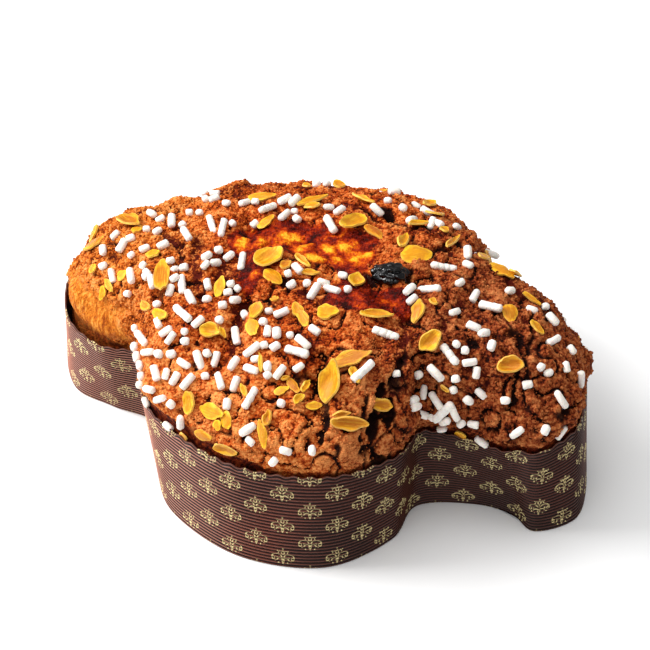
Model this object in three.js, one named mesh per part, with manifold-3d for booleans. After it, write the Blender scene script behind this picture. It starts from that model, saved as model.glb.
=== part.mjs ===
// Dove-shaped sweet Easter bread in its paper baking case. Millimetres, Z up, the floor at Z = 0.
// The head points to -X, the tail to +X and the wings to -Y and +Y.
import * as THREE from 'three';
import { mergeVertices } from 'three/addons/utils/BufferGeometryUtils.js';
import Module from 'manifold-3d';

const wasm = await Module();
wasm.setup();

// Driving dimensions
const paperThickness = 0.8;
const fitGap = 1.5;            // between the paper wall and what is inside it
const touchGap = 0.3;          // between pieces that lie on each other
const scallopDepth = 1.4;      // the rim's pinked edge, from crest to hollow
const sideColumns = 52;        // along each side of the bread, twice as many along the paper
const crustRings = 11;         // from the rim up to the spine
const spineShare = 0.68;       // the spine's length as a share of the rim's
const crownHeights = [[-101, 97], [-50, 109], [0, 111], [50, 111], [101, 102]];   // along the spine
const swell = 2.2;             // how far the crust bulges over the rim
const sugarThickness = 4.6;
const sugarCount = 150;
const strayFlakes = 18;
const flakeThickness = 1.3;
const raisinSize = { length: 19, width: 14, height: 11 };
const raisinPlace = { x: 38.5, y: -3, turn: 15 };

// The outline at the floor, from the head along the -Y side to the tail. lean: how far the wall leans out,
// height: how high it stands, fullness: how boxy the crust swells above it, shrink: how far the crust
// stands back from the paper
const side = {
  headTip: { x: -148, y: 0, lean: -5, height: 54, fullness: 1.9, shrink: 2.5 },
  headCorner: { x: -131, y: 29, lean: 0, height: 53, fullness: 2.1, shrink: 3 },
  headFlank: { x: -105, y: 35, lean: 9, height: 52, fullness: 2.4, shrink: 2 },
  headNotch: { x: -77, y: 39, lean: 6.5, height: 55, fullness: 4, shrink: 0 },
  wingLead: { x: -61, y: 71, lean: 5, height: 58, fullness: 2.8, shrink: 0 },
  wingLeadCorner: { x: -41, y: 93, lean: 0, height: 61, fullness: 2.1, shrink: 0.6 },
  wingTip: { x: 0, y: 106, lean: -1, height: 62, fullness: 2, shrink: 0.6 },
  wingTrailCorner: { x: 42, y: 97, lean: -1, height: 62, fullness: 2.1, shrink: 0 },
  wingTrail: { x: 66, y: 68, lean: 1, height: 59, fullness: 2.8, shrink: 0 },
  tailNotch: { x: 70, y: 42, lean: 4, height: 57, fullness: 4, shrink: 1 },
  tailFlank: { x: 96, y: 30, lean: 10, height: 54, fullness: 3.2, shrink: 2 },
  tailFlare: { x: 116, y: 29.5, lean: 10, height: 53, fullness: 2.6, shrink: 2 },
  tailCorner: { x: 130, y: 36, lean: 1, height: 57, fullness: 2.2, shrink: 1 },
  tailSide: { x: 146.5, y: 21, lean: -5, height: 61, fullness: 2.2, shrink: 0 },
  tailTip: { x: 146.5, y: 0, lean: -6, height: 60, fullness: 2.2, shrink: 0 },
};
// The +Y side is its mirror image, with a softer tail corner
const farSide = {
  ...side,
  tailCorner: { x: 127, y: 33, lean: 0, height: 57, fullness: 2.2, shrink: 0 },
  tailSide: { x: 139, y: 21, lean: -4, height: 60, fullness: 2.2, shrink: 0 },
};

// Large forms of the crust, in plan: tear = burst hollow, furrows = cracks, ledge = lifted rim of the tear
const tear = { from: [-36, 6], to: [16, 10], radius: 19, depth: 4 };
const secondTear = { from: [36, -12], to: [52, -24], radius: 12, depth: 3.5 };
const ledge = { from: [-60, 42], to: [-20, 60], radius: 9, depth: -3.5 };
const furrows = [
  { from: [-38, -12], to: [-22, -40], radius: 7, depth: 3.5 },
  { from: [-22, -40], to: [-22, -76], radius: 6, depth: 3.5 },
  { from: [-76, -10], to: [-48, -44], radius: 6, depth: 3 },
  { from: [24, -62], to: [34, -90], radius: 7, depth: 3 },
  { from: [48, -34], to: [54, -62], radius: 8, depth: 4 },
  { from: [60, -64], to: [58, -80], radius: 7, depth: 4.5 },
  { from: [58, -26], to: [72, -44], radius: 8, depth: 3 },
  { from: [80, -28], to: [116, -30], radius: 7, depth: 3 },
  { from: [90, -14], to: [116, -12], radius: 6, depth: 2.5 },
  { from: [14, 46], to: [32, 52], radius: 8, depth: 4 },
  { from: [-94, 18], to: [-66, 34], radius: 7, depth: 2.5 },
  { from: [60, 28], to: [52, 66], radius: 7, depth: 3 },
  { from: [-30, 74], to: [0, 88], radius: 7, depth: 3 },
];
const cragSize = 14;           // of the rough glaze's lumps
const cragHeight = 2.4;

// Almond flakes that stand out: place in plan, turn of the long axis, length, width
const flakes = [
  [31, -70, 108, 22, 14], [37, -53, 25, 20, 12], [47, -82, 22, 20, 10], [56, -68, 12, 14, 8],
  [28, -82, 10, 10, 6], [11, -79, 50, 10, 6], [17, -74, -40, 12, 6], [23, -75, 85, 11, 6],
  [-31, -89, 105, 15, 9], [-14, -92, 20, 12, 10], [-7, -94, 115, 13, 8], [-32, -58, 20, 12, 10],
  [-13, -53, 100, 9, 7], [-13, -45, 80, 12, 7], [10, -92, 110, 11, 7], [5, -39, -38, 15, 10],
  [17, -37, 30, 13, 9], [40, -31, 18, 19, 8], [59, -20, 84, 15, 11], [68, -33, 58, 18, 13],
  [106, -26, 22, 20, 12], [97, 3, 100, 12, 10], [111, 1, -38, 11, 6], [42, 20, 30, 18, 13],
  [55, 37, 60, 9, 6], [14, 29, -25, 12, 7], [6, 32, 54, 17, 9], [-27, 46, 43, 20, 7],
  [-49, 36, 25, 14, 8], [-34, 21, 65, 12, 7], [-23, -9, 75, 20, 12], [-18, -25, -10, 16, 9],
  [-2, -9, -27, 13, 7], [24, -10, 15, 10, 9], [-40, -34, 105, 15, 8], [-62, -55, 80, 10, 9],
  [-70, -34, 100, 17, 8], [-84, -22, 30, 10, 7], [-97, -33, 70, 9, 7], [-109, 6, 20, 14, 10],
  [38, 44, 25, 14, 7], [88, 31, 0, 17, 8],
];

const materials = {
  crust: new THREE.MeshStandardMaterial({ color: 0xa8602c, roughness: 0.8, metalness: 0 }),
  raisin: new THREE.MeshStandardMaterial({ color: 0x151118, roughness: 0.35, metalness: 0 }),
  paper: new THREE.MeshStandardMaterial({ color: 0x4a2b2c, roughness: 0.6, metalness: 0 }),
};

// Small maths helpers
const radians = THREE.MathUtils.degToRad;
const clamp = THREE.MathUtils.clamp;
const lerp = THREE.MathUtils.lerp;

// Repeatable random numbers from 0 to 1
function seededRandom(seed) {
  let state = seed;
  return () => {
    state = (state + 0x6d2b79f5) | 0;
    let mixed = Math.imul(state ^ (state >>> 15), 1 | state);
    mixed = (mixed + Math.imul(mixed ^ (mixed >>> 7), 61 | mixed)) ^ mixed;
    return ((mixed ^ (mixed >>> 14)) >>> 0) / 4294967296;
  };
}

function lattice(i, j, k) {
  const wave = Math.sin(i * 127.1 + j * 311.7 + k * 74.7) * 43758.5453;
  return wave - Math.floor(wave);
}

// Smooth lumps from -1 to 1 with one lump to a unit of length
function lumps(x, y, z) {
  const [i, j, k] = [Math.floor(x), Math.floor(y), Math.floor(z)];
  const ease = (t) => t * t * (3 - 2 * t);
  const [u, v, w] = [ease(x - i), ease(y - j), ease(z - k)];
  const edge = (dj, dk) => lerp(lattice(i, j + dj, k + dk), lattice(i + 1, j + dj, k + dk), u);
  return 2 * lerp(lerp(edge(0, 0), edge(1, 0), v), lerp(edge(0, 1), edge(1, 1), v), w) - 1;
}

// 1 on the line from one point to another, falling to 0 at the radius
function nearLine(x, y, { from, to, radius }) {
  const [dx, dy] = [to[0] - from[0], to[1] - from[1]];
  const along = clamp(((x - from[0]) * dx + (y - from[1]) * dy) / (dx * dx + dy * dy), 0, 1);
  const reach = Math.hypot(x - from[0] - along * dx, y - from[1] - along * dy) / radius;
  return reach < 1 ? (1 - reach * reach) ** 2 : 0;
}

// Closed curves through the outline's named points: the floor line, and what stands on it
const nearPoints = Object.values(side).map((p) => ({ ...p, y: -p.y }));
const farPoints = Object.values(farSide).slice(1, -1).reverse();
const outline = [...nearPoints, ...farPoints];
const closedCurve = (pick) => new THREE.CatmullRomCurve3(outline.map(pick), true, 'catmullrom', 0.5);
const floorCurve = closedCurve((p) => new THREE.Vector3(p.x, p.y, p.shrink));
const wallCurve = closedCurve((p) => new THREE.Vector3(p.lean, p.height, p.fullness));

// Places along the curve, evenly spaced on the near side and repeated on the far side
function stations(count) {
  const steps = 600;
  const lengths = [0];
  let previous = floorCurve.getPoint(0);
  for (let i = 1; i <= steps; i++) {
    const point = floorCurve.getPoint((i / steps) * 0.5);
    lengths.push(lengths[i - 1] + Math.hypot(point.x - previous.x, point.y - previous.y));
    previous = point;
  }
  const near = [];
  for (let k = 0, i = 0; k <= count; k++) {
    const target = (k / count) * lengths[steps];
    while (i < steps && lengths[i + 1] < target) i++;
    const part = i < steps ? (target - lengths[i]) / (lengths[i + 1] - lengths[i]) : 0;
    near.push(((i + part) / steps) * 0.5);
  }
  return [...near, ...near.slice(1, -1).reverse().map((u) => 1 - u)];
}

// The wall's line at one station: its foot, the outward direction, and its rim
function wallAt(u) {
  const foot = floorCurve.getPoint(u);
  const ahead = floorCurve.getPoint((u + 0.001) % 1);
  const behind = floorCurve.getPoint((u + 0.999) % 1);
  const out = new THREE.Vector2(ahead.y - behind.y, behind.x - ahead.x).normalize();
  const { x: lean, y: height, z: fullness } = wallCurve.getPoint(u);
  return { x: foot.x, y: foot.y, out, lean, height, fullness, shrink: Math.max(foot.z, 0) };
}

// A point of the wall at a height, moved inwards from the paper's outer face
function onWall(wall, z, inset) {
  const away = wall.lean * (z / wall.height) - inset;
  return new THREE.Vector3(wall.x + wall.out.x * away, wall.y + wall.out.y * away, z);
}

// One closed mesh from rows of points that run round the piece, the first and last row filled flat
function rowsToGeometry(rows) {
  const count = rows[0].length;
  const positions = rows.flat().flatMap((p) => [p.x, p.y, p.z]);
  const faces = [];
  for (let r = 0; r + 1 < rows.length; r++) {
    for (let i = 0; i < count; i++) {
      const [a, b] = [r * count + i, r * count + ((i + 1) % count)];
      faces.push(a, b, b + count, a, b + count, a + count);
    }
  }
  const fill = (row) => THREE.ShapeUtils.triangulateShape(row.map((p) => new THREE.Vector2(p.x, p.y)), []);
  const top = (rows.length - 1) * count;
  fill(rows[0]).forEach(([a, b, c]) => faces.push(a, c, b));
  fill(rows[rows.length - 1]).forEach(([a, b, c]) => faces.push(top + a, top + b, top + c));
  const geometry = new THREE.BufferGeometry();
  geometry.setAttribute('position', new THREE.Float32BufferAttribute(positions, 3));
  geometry.setIndex(faces);
  return geometry;
}

function toSolid(geometry) {
  const bare = geometry.clone();
  bare.deleteAttribute('normal');
  bare.deleteAttribute('uv');
  const merged = mergeVertices(bare, 1e-4);
  const vertProperties = new Float32Array(merged.attributes.position.array);
  const triVerts = new Uint32Array(merged.index.array);
  return new wasm.Manifold(new wasm.Mesh({ numProp: 3, vertProperties, triVerts }));
}

function toGeometry(solid) {
  const { vertProperties, triVerts } = solid.getMesh();
  const geometry = new THREE.BufferGeometry();
  geometry.setAttribute('position', new THREE.Float32BufferAttribute(vertProperties, 3));
  geometry.setIndex(Array.from(triVerts));
  return geometry;
}

function crownHeight(x) {
  const spline = new THREE.SplineCurve(crownHeights.map(([along, z]) => new THREE.Vector2(along, z)));
  const reach = crownHeights[crownHeights.length - 1][0];
  return spline.getPoint(clamp((x + reach) / (2 * reach), 0, 1)).y;
}

// How far the crust stands out from its smooth form: crags, cracks, the burst hollows and the lifted ledge
function relief(x, y, z) {
  const crags = cragHeight * (lumps(x / cragSize, y / cragSize, z / cragSize)
    + 0.5 * lumps((2 * x) / cragSize, (2 * y) / cragSize, (2 * z) / cragSize + 9));
  const hollows = [tear, secondTear, ledge, ...furrows];
  return crags - hollows.reduce((sum, form) => sum + form.depth * nearLine(x, y, form), 0);
}

// The crust's smooth form above one wall station, from its edge (share 0) to the spine (share 1)
function crustPoint(wall, share) {
  const inset = paperThickness + fitGap + wall.shrink;
  const edge = onWall(wall, wall.height, inset);
  const spineX = edge.x * spineShare;
  const rise = (1 - (1 - share) ** wall.fullness) ** (1 / wall.fullness);
  const z = lerp(edge.z, crownHeight(spineX), rise);
  const over = swell * Math.sin(Math.PI * clamp((z - edge.z - 2.5) / 24, 0, 1));
  return new THREE.Vector3(
    lerp(edge.x, spineX, share) + wall.out.x * over,
    edge.y * (1 - share) + wall.out.y * over,
    z,
  );
}

function breadCore(walls) {
  const inset = paperThickness + fitGap;
  const floor = paperThickness + touchGap;
  const lower = [
    walls.map((wall) => onWall(wall, floor, inset)),
    walls.map((wall) => onWall(wall, wall.height - 16, inset + 0.2 * wall.shrink)),
  ];
  const smooth = [];
  for (let ring = 0; ring <= crustRings; ring++) {
    const share = 0.94 * (ring / crustRings) ** 1.4;
    smooth.push(walls.map((wall) => crustPoint(wall, share)));
  }
  const count = walls.length;
  const rough = smooth.slice(1).map((row, ring) => row.map((point, i) => {
    const along = row[(i + 1) % count].clone().sub(row[(i + count - 1) % count]);
    const above = smooth[Math.min(ring + 2, crustRings)][i];
    const up = above.clone().sub(smooth[ring][i]);
    const normal = along.cross(up).normalize();
    const fade = THREE.MathUtils.smoothstep(point.z - walls[i].height, 2, 16);
    return point.clone().addScaledVector(normal, fade * relief(point.x, point.y, point.z));
  }));
  return rowsToGeometry([...lower, smooth[0], ...rough]);
}

// A grain of pearl sugar: a stubby rod with rounded ends, along X
function sugarGrain(length) {
  const radius = sugarThickness / 2;
  const profile = [[0, -0.5], [1, -0.5 + 0.3 * (radius / length)], [1, 0.5 - 0.3 * (radius / length)], [0, 0.5]];
  const points = profile.map(([r, along]) => new THREE.Vector2(r * radius, along * length));
  return new THREE.LatheGeometry(points, 6).rotateZ(-Math.PI / 2);
}

// A sliced almond: a thin drop-shaped plate in the XY plane
function almondFlake(length, width) {
  const rim = [[-0.5, 0], [-0.28, -0.4], [0.08, -0.5], [0.36, -0.3], [0.5, 0], [0.36, 0.3], [0.08, 0.5], [-0.28, 0.4]];
  const shape = new THREE.Shape(rim.map(([x, y]) => new THREE.Vector2(x * length, y * width)));
  const plate = new THREE.ExtrudeGeometry(shape, { depth: flakeThickness, bevelEnabled: false });
  return plate.translate(0, 0, -flakeThickness / 2);
}

// The wrinkled raisin, grown all round by the given amount
function raisinForm(grow) {
  const ball = new THREE.IcosahedronGeometry(1, 3);
  const place = ball.attributes.position;
  const point = new THREE.Vector3();
  for (let i = 0; i < place.count; i++) {
    point.fromBufferAttribute(place, i).normalize();
    const wrinkle = 1 + 0.09 * lumps(point.x * 3, point.y * 3, point.z * 3);
    place.setXYZ(
      i,
      point.x * ((raisinSize.length / 2) * wrinkle + grow),
      point.y * ((raisinSize.width / 2) * wrinkle + grow),
      point.z * ((raisinSize.height / 2) * wrinkle + grow),
    );
  }
  return ball.rotateZ(radians(raisinPlace.turn));
}

// Finds the crust's surface above a place in plan
function surfaceFinder(geometry) {
  const mesh = new THREE.Mesh(geometry);
  const ray = new THREE.Raycaster();
  const down = new THREE.Vector3(0, 0, -1);
  return (x, y) => {
    ray.set(new THREE.Vector3(x, y, 200), down);
    const [hit] = ray.intersectObject(mesh);
    return hit && { point: hit.point, normal: hit.face.normal };
  };
}

// Lays a topping on the crust, its Z along the surface's normal and its X turned in plan
function lay(geometry, spot, turn, lift) {
  const normal = spot.normal;
  const heading = new THREE.Vector3(Math.cos(turn), Math.sin(turn), 0);
  const across = normal.clone().cross(heading).normalize();
  const along = across.clone().cross(normal);
  const place = new THREE.Matrix4().makeBasis(along, across, normal);
  place.setPosition(spot.point.clone().addScaledVector(normal, lift));
  return geometry.applyMatrix4(place);
}

// How thickly the sugar lies, from 0 to 1: thickest on the head and the leading half of the wings
function sugarShare(x, y) {
  const leading = 1 - THREE.MathUtils.smoothstep(x + 0.3 * Math.abs(y), -5, 45);
  const bare = Math.max(nearLine(x, y, { ...tear, radius: 24 }), nearLine(x, y, { ...secondTear, radius: 20 }));
  const headEnd = THREE.MathUtils.smoothstep(-x, 104, 120);
  return (0.3 + 0.7 * leading) * (1 - bare) * (1 - headEnd);
}

// Scatters places in plan inside the rim: a seeded throw is kept if it is clear of the others
function scatter(count, seed, share, spacing, taken) {
  const random = seededRandom(seed);
  const kept = [];
  for (let i = 0; i < 40 * count && kept.length < count; i++) {
    const [x, y] = [lerp(-140, 145, random()), lerp(-104, 104, random())];
    const [luck, turn, size] = [random(), Math.PI * random(), random()];
    const clear = [...taken, ...kept].every((spot) => Math.hypot(spot.x - x, spot.y - y) > spacing + spot.room);
    if (luck < share(x, y) && clear) kept.push({ x, y, turn, size, room: 0 });
  }
  return kept;
}

// Distance in plan from a place to the paper's rim
function rimDistance(walls, x, y) {
  return Math.min(...walls.map((wall) => {
    const rim = onWall(wall, wall.height, 0);
    return Math.hypot(rim.x - x, rim.y - y);
  }));
}

function cakeWithToppings(walls) {
  const coreGeometry = breadCore(walls);
  const surface = surfaceFinder(coreGeometry);
  const raisinRoom = { x: raisinPlace.x, y: raisinPlace.y, room: raisinSize.length / 2 };
  const solids = [toSolid(coreGeometry)];
  const add = (geometry, x, y, turn, lift) => {
    const spot = surface(x, y);
    if (!spot || rimDistance(walls, x, y) < 9) return;
    solids.push(toSolid(lay(geometry, spot, turn, lift)));
  };
  flakes.forEach(([x, y, turn, length, width]) => add(almondFlake(length, width), x, y, radians(turn), 0.4));
  const taken = [raisinRoom, ...flakes.map(([x, y, , length]) => ({ x, y, room: 0.2 * length }))];
  const stray = scatter(strayFlakes, 5, (x, y) => (y > 20 ? 1 : 0), 9, taken);
  stray.forEach(({ x, y, turn, size }) => add(almondFlake(12 + 6 * size, 8 + 4 * size), x, y, turn, 0.4));
  taken.push(...stray.map((spot) => ({ ...spot, room: 3 })));
  const sugar = scatter(sugarCount, 11, sugarShare, 7, taken);
  sugar.forEach(({ x, y, turn, size }) => add(sugarGrain(5.5 + 7 * size * size), x, y, turn, 0.8));
  const socket = toSolid(seatRaisin(raisinForm(0.35), surface));
  const pieces = wasm.Manifold.union(solids).subtract(socket).decompose();
  pieces.sort((a, b) => b.volume() - a.volume());
  return { cake: toGeometry(pieces[0]), surface };
}

function seatRaisin(geometry, surface) {
  const { point } = surface(raisinPlace.x, raisinPlace.y);
  return geometry.translate(point.x, point.y, point.z + 0.22 * raisinSize.height);
}

// The flared paper wall with its pinked rim
function paperWall(walls) {
  const rise = (wall, i) => wall.height + (i % 2 ? scallopDepth / 2 : -scallopDepth / 2);
  const ring = (inset, height) => walls.map((wall, i) => onWall(wall, height(wall, i), inset));
  const foot = () => 0;
  const loops = [ring(0, foot), ring(0, rise), ring(paperThickness, rise), ring(paperThickness, foot)];
  const count = walls.length;
  const faces = [];
  loops.forEach((_, r) => {
    const [low, high] = [r * count, ((r + 1) % loops.length) * count];
    for (let i = 0; i < count; i++) {
      const next = (i + 1) % count;
      faces.push(low + i, low + next, high + next, low + i, high + next, high + i);
    }
  });
  const geometry = new THREE.BufferGeometry();
  const positions = loops.flat().flatMap((p) => [p.x, p.y, p.z]);
  geometry.setAttribute('position', new THREE.Float32BufferAttribute(positions, 3));
  geometry.setIndex(faces);
  return geometry;
}

// The flat paper base inside the wall's foot
function paperBase(walls) {
  const inset = paperThickness + fitGap;
  const face = (z) => walls.map((wall) => new THREE.Vector3(
    wall.x - wall.out.x * inset,
    wall.y - wall.out.y * inset,
    z,
  ));
  return rowsToGeometry([face(0), face(paperThickness)]);
}

function named(name, geometry, material) {
  const mesh = new THREE.Mesh(geometry, material);
  mesh.name = name;
  return mesh;
}

const breadWalls = stations(sideColumns).map(wallAt);
const paperWalls = stations(2 * sideColumns).map(wallAt);
const { cake, surface } = cakeWithToppings(breadWalls);

const group = new THREE.Group();
group.add(named('cake', cake, materials.crust));
group.add(named('raisin', toGeometry(toSolid(seatRaisin(raisinForm(0), surface))), materials.raisin));
group.add(named('paper_wall', paperWall(paperWalls), materials.paper));
group.add(named('paper_base', paperBase(breadWalls), materials.paper));

export default group;
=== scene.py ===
import math
import random

import bmesh
import bpy
import numpy as np
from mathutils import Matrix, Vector
from mathutils.bvhtree import BVHTree


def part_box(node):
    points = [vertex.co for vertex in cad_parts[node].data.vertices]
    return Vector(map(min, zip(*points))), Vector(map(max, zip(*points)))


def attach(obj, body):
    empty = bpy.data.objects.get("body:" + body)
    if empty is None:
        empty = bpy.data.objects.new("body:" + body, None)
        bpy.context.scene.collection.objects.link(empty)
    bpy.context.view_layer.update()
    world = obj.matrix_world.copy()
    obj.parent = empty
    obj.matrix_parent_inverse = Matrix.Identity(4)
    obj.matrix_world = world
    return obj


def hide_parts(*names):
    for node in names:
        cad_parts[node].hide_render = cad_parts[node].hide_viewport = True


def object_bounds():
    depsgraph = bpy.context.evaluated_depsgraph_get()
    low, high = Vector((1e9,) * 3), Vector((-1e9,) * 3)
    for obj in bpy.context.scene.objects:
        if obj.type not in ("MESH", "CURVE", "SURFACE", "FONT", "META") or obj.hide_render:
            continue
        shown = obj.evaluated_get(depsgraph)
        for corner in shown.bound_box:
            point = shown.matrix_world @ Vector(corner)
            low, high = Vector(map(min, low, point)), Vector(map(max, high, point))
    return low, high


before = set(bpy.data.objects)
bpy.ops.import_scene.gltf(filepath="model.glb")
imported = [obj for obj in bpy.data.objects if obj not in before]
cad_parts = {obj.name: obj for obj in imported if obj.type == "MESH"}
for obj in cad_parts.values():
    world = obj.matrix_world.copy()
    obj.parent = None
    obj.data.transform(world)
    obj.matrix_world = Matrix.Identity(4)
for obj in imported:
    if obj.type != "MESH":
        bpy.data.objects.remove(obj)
cadBox = [list(corner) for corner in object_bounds()]
print("frame loaded")

# The case's outline at the floor, head to tail along the -Y side, in millimetres:
# x, y, how far the wall leans out, its height, how boxy the crust is above it, how far the crust stands back
outline = {
    "headTip": (-148, 0, -5, 54, 1.9, 2.5),
    "headCorner": (-131, 29, 0, 53, 2.1, 3),
    "headFlank": (-105, 35, 9, 52, 2.4, 2),
    "headNotch": (-77, 39, 6.5, 55, 4, 0),
    "wingLead": (-61, 71, 5, 58, 2.8, 0),
    "wingLeadCorner": (-41, 93, 0, 61, 2.1, 0.6),
    "wingTip": (0, 106, -1, 62, 2, 0.6),
    "wingTrailCorner": (42, 97, -1, 62, 2.1, 0),
    "wingTrail": (66, 68, 1, 59, 2.8, 0),
    "tailNotch": (70, 42, 4, 57, 4, 0.5),
    "tailFlank": (96, 30, 10, 54, 3.2, 0.5),
    "tailFlare": (116, 29.5, 10, 53, 2.6, 0.5),
    "tailCorner": (130, 36, 1, 57, 2.2, 0.3),
    "tailSide": (146.5, 21, -5, 61, 2.2, 0),
    "tailTip": (146.5, 0, -6, 60, 2.2, 0),
}
farOutline = {  # where the +Y side differs
    "tailCorner": (127, 33, 0, 57, 2.2, 0),
    "tailSide": (139, 21, -4, 60, 2.2, 0),
}


# small maths, all on whole arrays
def ease(low, high, value):
    t = np.clip((value - low) / (high - low), 0, 1)
    return t * t * (3 - 2 * t)


def lattice(i, j, k):
    wave = np.sin(i * 127.1 + j * 311.7 + k * 74.7) * 43758.5453
    return wave - np.floor(wave)


def lumps(x, y, z):  # smooth noise from -1 to 1, one lump to a unit
    i, j, k = np.floor(x), np.floor(y), np.floor(z)
    u, v, w = (t * t * (3 - 2 * t) for t in (x - i, y - j, z - k))

    def side(dj, dk):
        start = lattice(i, j + dj, k + dk)
        return start + (lattice(i + 1, j + dj, k + dk) - start) * u

    low = side(0, 0) + (side(1, 0) - side(0, 0)) * v
    high = side(0, 1) + (side(1, 1) - side(0, 1)) * v
    return 2 * (low + (high - low) * w) - 1


def creases(x, y, z, width):  # 1 along thin winding lines, falling to 0
    return np.clip(1 - np.abs(lumps(x, y, z)) / width, 0, 1)


def nearLine(x, y, x0, y0, x1, y1, radius):  # 1 on the line, falling to 0 at the radius
    dx, dy = x1 - x0, y1 - y0
    along = np.clip(((x - x0) * dx + (y - y0) * dy) / (dx * dx + dy * dy), 0, 1)
    reach = np.hypot(x - x0 - along * dx, y - y0 - along * dy) / radius
    return np.where(reach < 1, (1 - reach * reach) ** 2, 0)


def catmullRom(p0, p1, p2, p3, t):
    return 0.5 * (2 * p1 + (p2 - p0) * t + (2 * p0 - 5 * p1 + 4 * p2 - p3) * t ** 2
                  + (3 * p1 - p0 - 3 * p2 + p3) * t ** 3)


def unit(vector):
    return vector / np.linalg.norm(vector)


def mirrored(count):  # each column's partner on the other side of the spine
    return -np.arange(count) % count


# the outline as a closed curve, and the wall that stands on it
nearRows = [(x, -y, *rest) for x, y, *rest in outline.values()]
farRows = [{**outline, **farOutline}[name] for name in outline][1:-1][::-1]
outlineRows = np.array(nearRows + farRows, float)


def outlineAt(u):
    count = len(outlineRows)
    place = (np.asarray(u) % 1) * count
    index = np.floor(place).astype(int)
    corners = [outlineRows[(index + step) % count] for step in (-1, 0, 1, 2)]
    return catmullRom(*corners, (place - index)[:, None])


def wallRound(perSide):
    fine = np.linspace(0, 0.5, 601)
    steps = np.diff(outlineAt(fine)[:, :2], axis=0)
    lengths = np.append(0, np.cumsum(np.hypot(*steps.T)))
    near = np.interp(np.linspace(0, lengths[-1], perSide + 1), lengths, fine)
    u = np.append(near, 1 - near[1:-1][::-1])
    row = outlineAt(u)
    along = outlineAt(u + 0.001)[:, :2] - outlineAt(u - 0.001)[:, :2]
    out = np.stack([along[:, 1], -along[:, 0]], 1)
    out /= np.hypot(*out.T)[:, None]
    return {"foot": row[:, :2], "out": out, "lean": row[:, 2], "height": row[:, 3],
            "fullness": row[:, 4], "shrink": np.maximum(row[:, 5], 0)}


def onWall(wall, z, inset):
    away = wall["lean"] * z / wall["height"] - inset
    flat = wall["foot"] + wall["out"] * away[..., None]
    return np.concatenate([flat, (z + 0 * away)[..., None]], -1)


# meshes
def selectOnly(*pieces):
    for piece in bpy.context.selected_objects:
        piece.select_set(False)
    for piece in pieces:
        piece.select_set(True)
        bpy.context.view_layer.objects.active = piece


def editWith(piece, kind, wanted):  # edit mode, with the wanted points or edges selected
    selectOnly(piece)
    bpy.ops.object.mode_set(mode="EDIT")
    bpy.ops.mesh.select_mode(type=kind)
    bpy.ops.mesh.select_all(action="DESELECT")
    mesh = bmesh.from_edit_mesh(piece.data)
    for part in mesh.verts if kind == "VERT" else mesh.edges:
        part.select_set(wanted(part))
    bmesh.update_edit_mesh(piece.data)


def objectMode():
    bpy.ops.object.mode_set(mode="OBJECT")


def applyAll(piece):
    selectOnly(piece)
    for modifier in list(piece.modifiers):
        bpy.ops.object.modifier_apply(modifier=modifier.name)


def pull(rows, key, width=1, kind=float):
    values = np.empty((len(rows), width) if width > 1 else len(rows), kind)
    rows.foreach_get(key, values.ravel())
    return values


def getPoints(piece):
    return pull(piece.data.vertices, "co", 3)


def setPoints(piece, points):
    piece.data.vertices.foreach_set("co", np.asarray(points, float).ravel())
    piece.data.update()


def getValue(piece, name):
    return pull(piece.data.attributes[name].data, "value")


def setValue(piece, name, values):
    layer = piece.data.attributes.new(name, "FLOAT", "POINT")
    layer.data.foreach_set("value", np.asarray(values, float).ravel())


def setMap(piece, name, uv):
    piece.data.uv_layers.new(name=name).data.foreach_set("uv", np.asarray(uv).ravel())


def triangles(piece):
    piece.data.calc_loop_triangles()
    return pull(piece.data.loop_triangles, "vertices", 3, int)


def openTube(name, columns, rows):  # a cylinder cut into rows; each point keeps its row and column
    selectOnly()
    bpy.ops.mesh.primitive_cylinder_add(vertices=columns, radius=1, depth=2, end_fill_type="NOTHING")
    piece = bpy.context.object
    piece.name = piece.data.name = name
    editWith(piece, "EDGE", lambda edge: abs(edge.verts[0].co.z - edge.verts[1].co.z) > 1)
    bpy.ops.mesh.subdivide_edgering(number_cuts=rows - 2, interpolation="LINEAR")
    objectMode()
    flat = getPoints(piece)
    angle = np.arctan2(flat[:, 1], flat[:, 0])
    column = np.round((angle - angle[0]) / (2 * math.pi / columns)).astype(int) % columns
    row = np.round((flat[:, 2] + 1) / 2 * (rows - 1)).astype(int)
    return piece, row, column


def hand(piece, material, node, smooth=None):  # the finished piece for the frame, trimmed to its box
    setPoints(piece, np.clip(getPoints(piece), *cadBox))
    piece.data.materials.append(material)
    selectOnly(piece)
    if smooth is None:
        bpy.ops.object.shade_smooth()
    else:
        bpy.ops.object.shade_smooth_by_angle(angle=math.radians(smooth))
    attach(piece, "root")
    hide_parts(node)
    selectOnly()
    print(piece.name + ":", len(piece.data.polygons), "faces")


# materials
board = {}  # the material in work, its tree, its shader and its Object coordinates


def colour(code):  # from a picture's hex code to Blender's linear values
    parts = [int(code[i:i + 2], 16) / 255 for i in (0, 2, 4)]
    return tuple(p / 12.92 if p < 0.04 else ((p + 0.055) / 1.055) ** 2.4 for p in parts) + (1,)


def newNode(kind, **options):
    node = board["tree"].nodes.new("ShaderNode" + kind)
    for name, value in options.items():
        setattr(node, name, value)
    return node


def plug(socket, value):
    if isinstance(value, bpy.types.NodeSocket):
        board["tree"].links.new(value, socket)
    elif value is not None:
        socket.default_value = colour(value) if isinstance(value, str) else value


def startMaterial(name, **finish):
    board["material"] = bpy.data.materials.new(name)
    board["material"].use_nodes = True
    board["tree"] = board["material"].node_tree
    board["shader"] = board["tree"].nodes["Principled BSDF"]
    board["coords"] = newNode("TexCoord").outputs["Object"]
    for socket, value in finish.items():
        board["shader"].inputs[socket.replace("_", " ")].default_value = value


def calc(operation, *values):
    node = newNode("Math", operation=operation)
    for socket, value in zip(node.inputs, values):
        plug(socket, value)
    return node.outputs[0]


def times(first, second):
    return calc("MULTIPLY", first, second)


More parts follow.
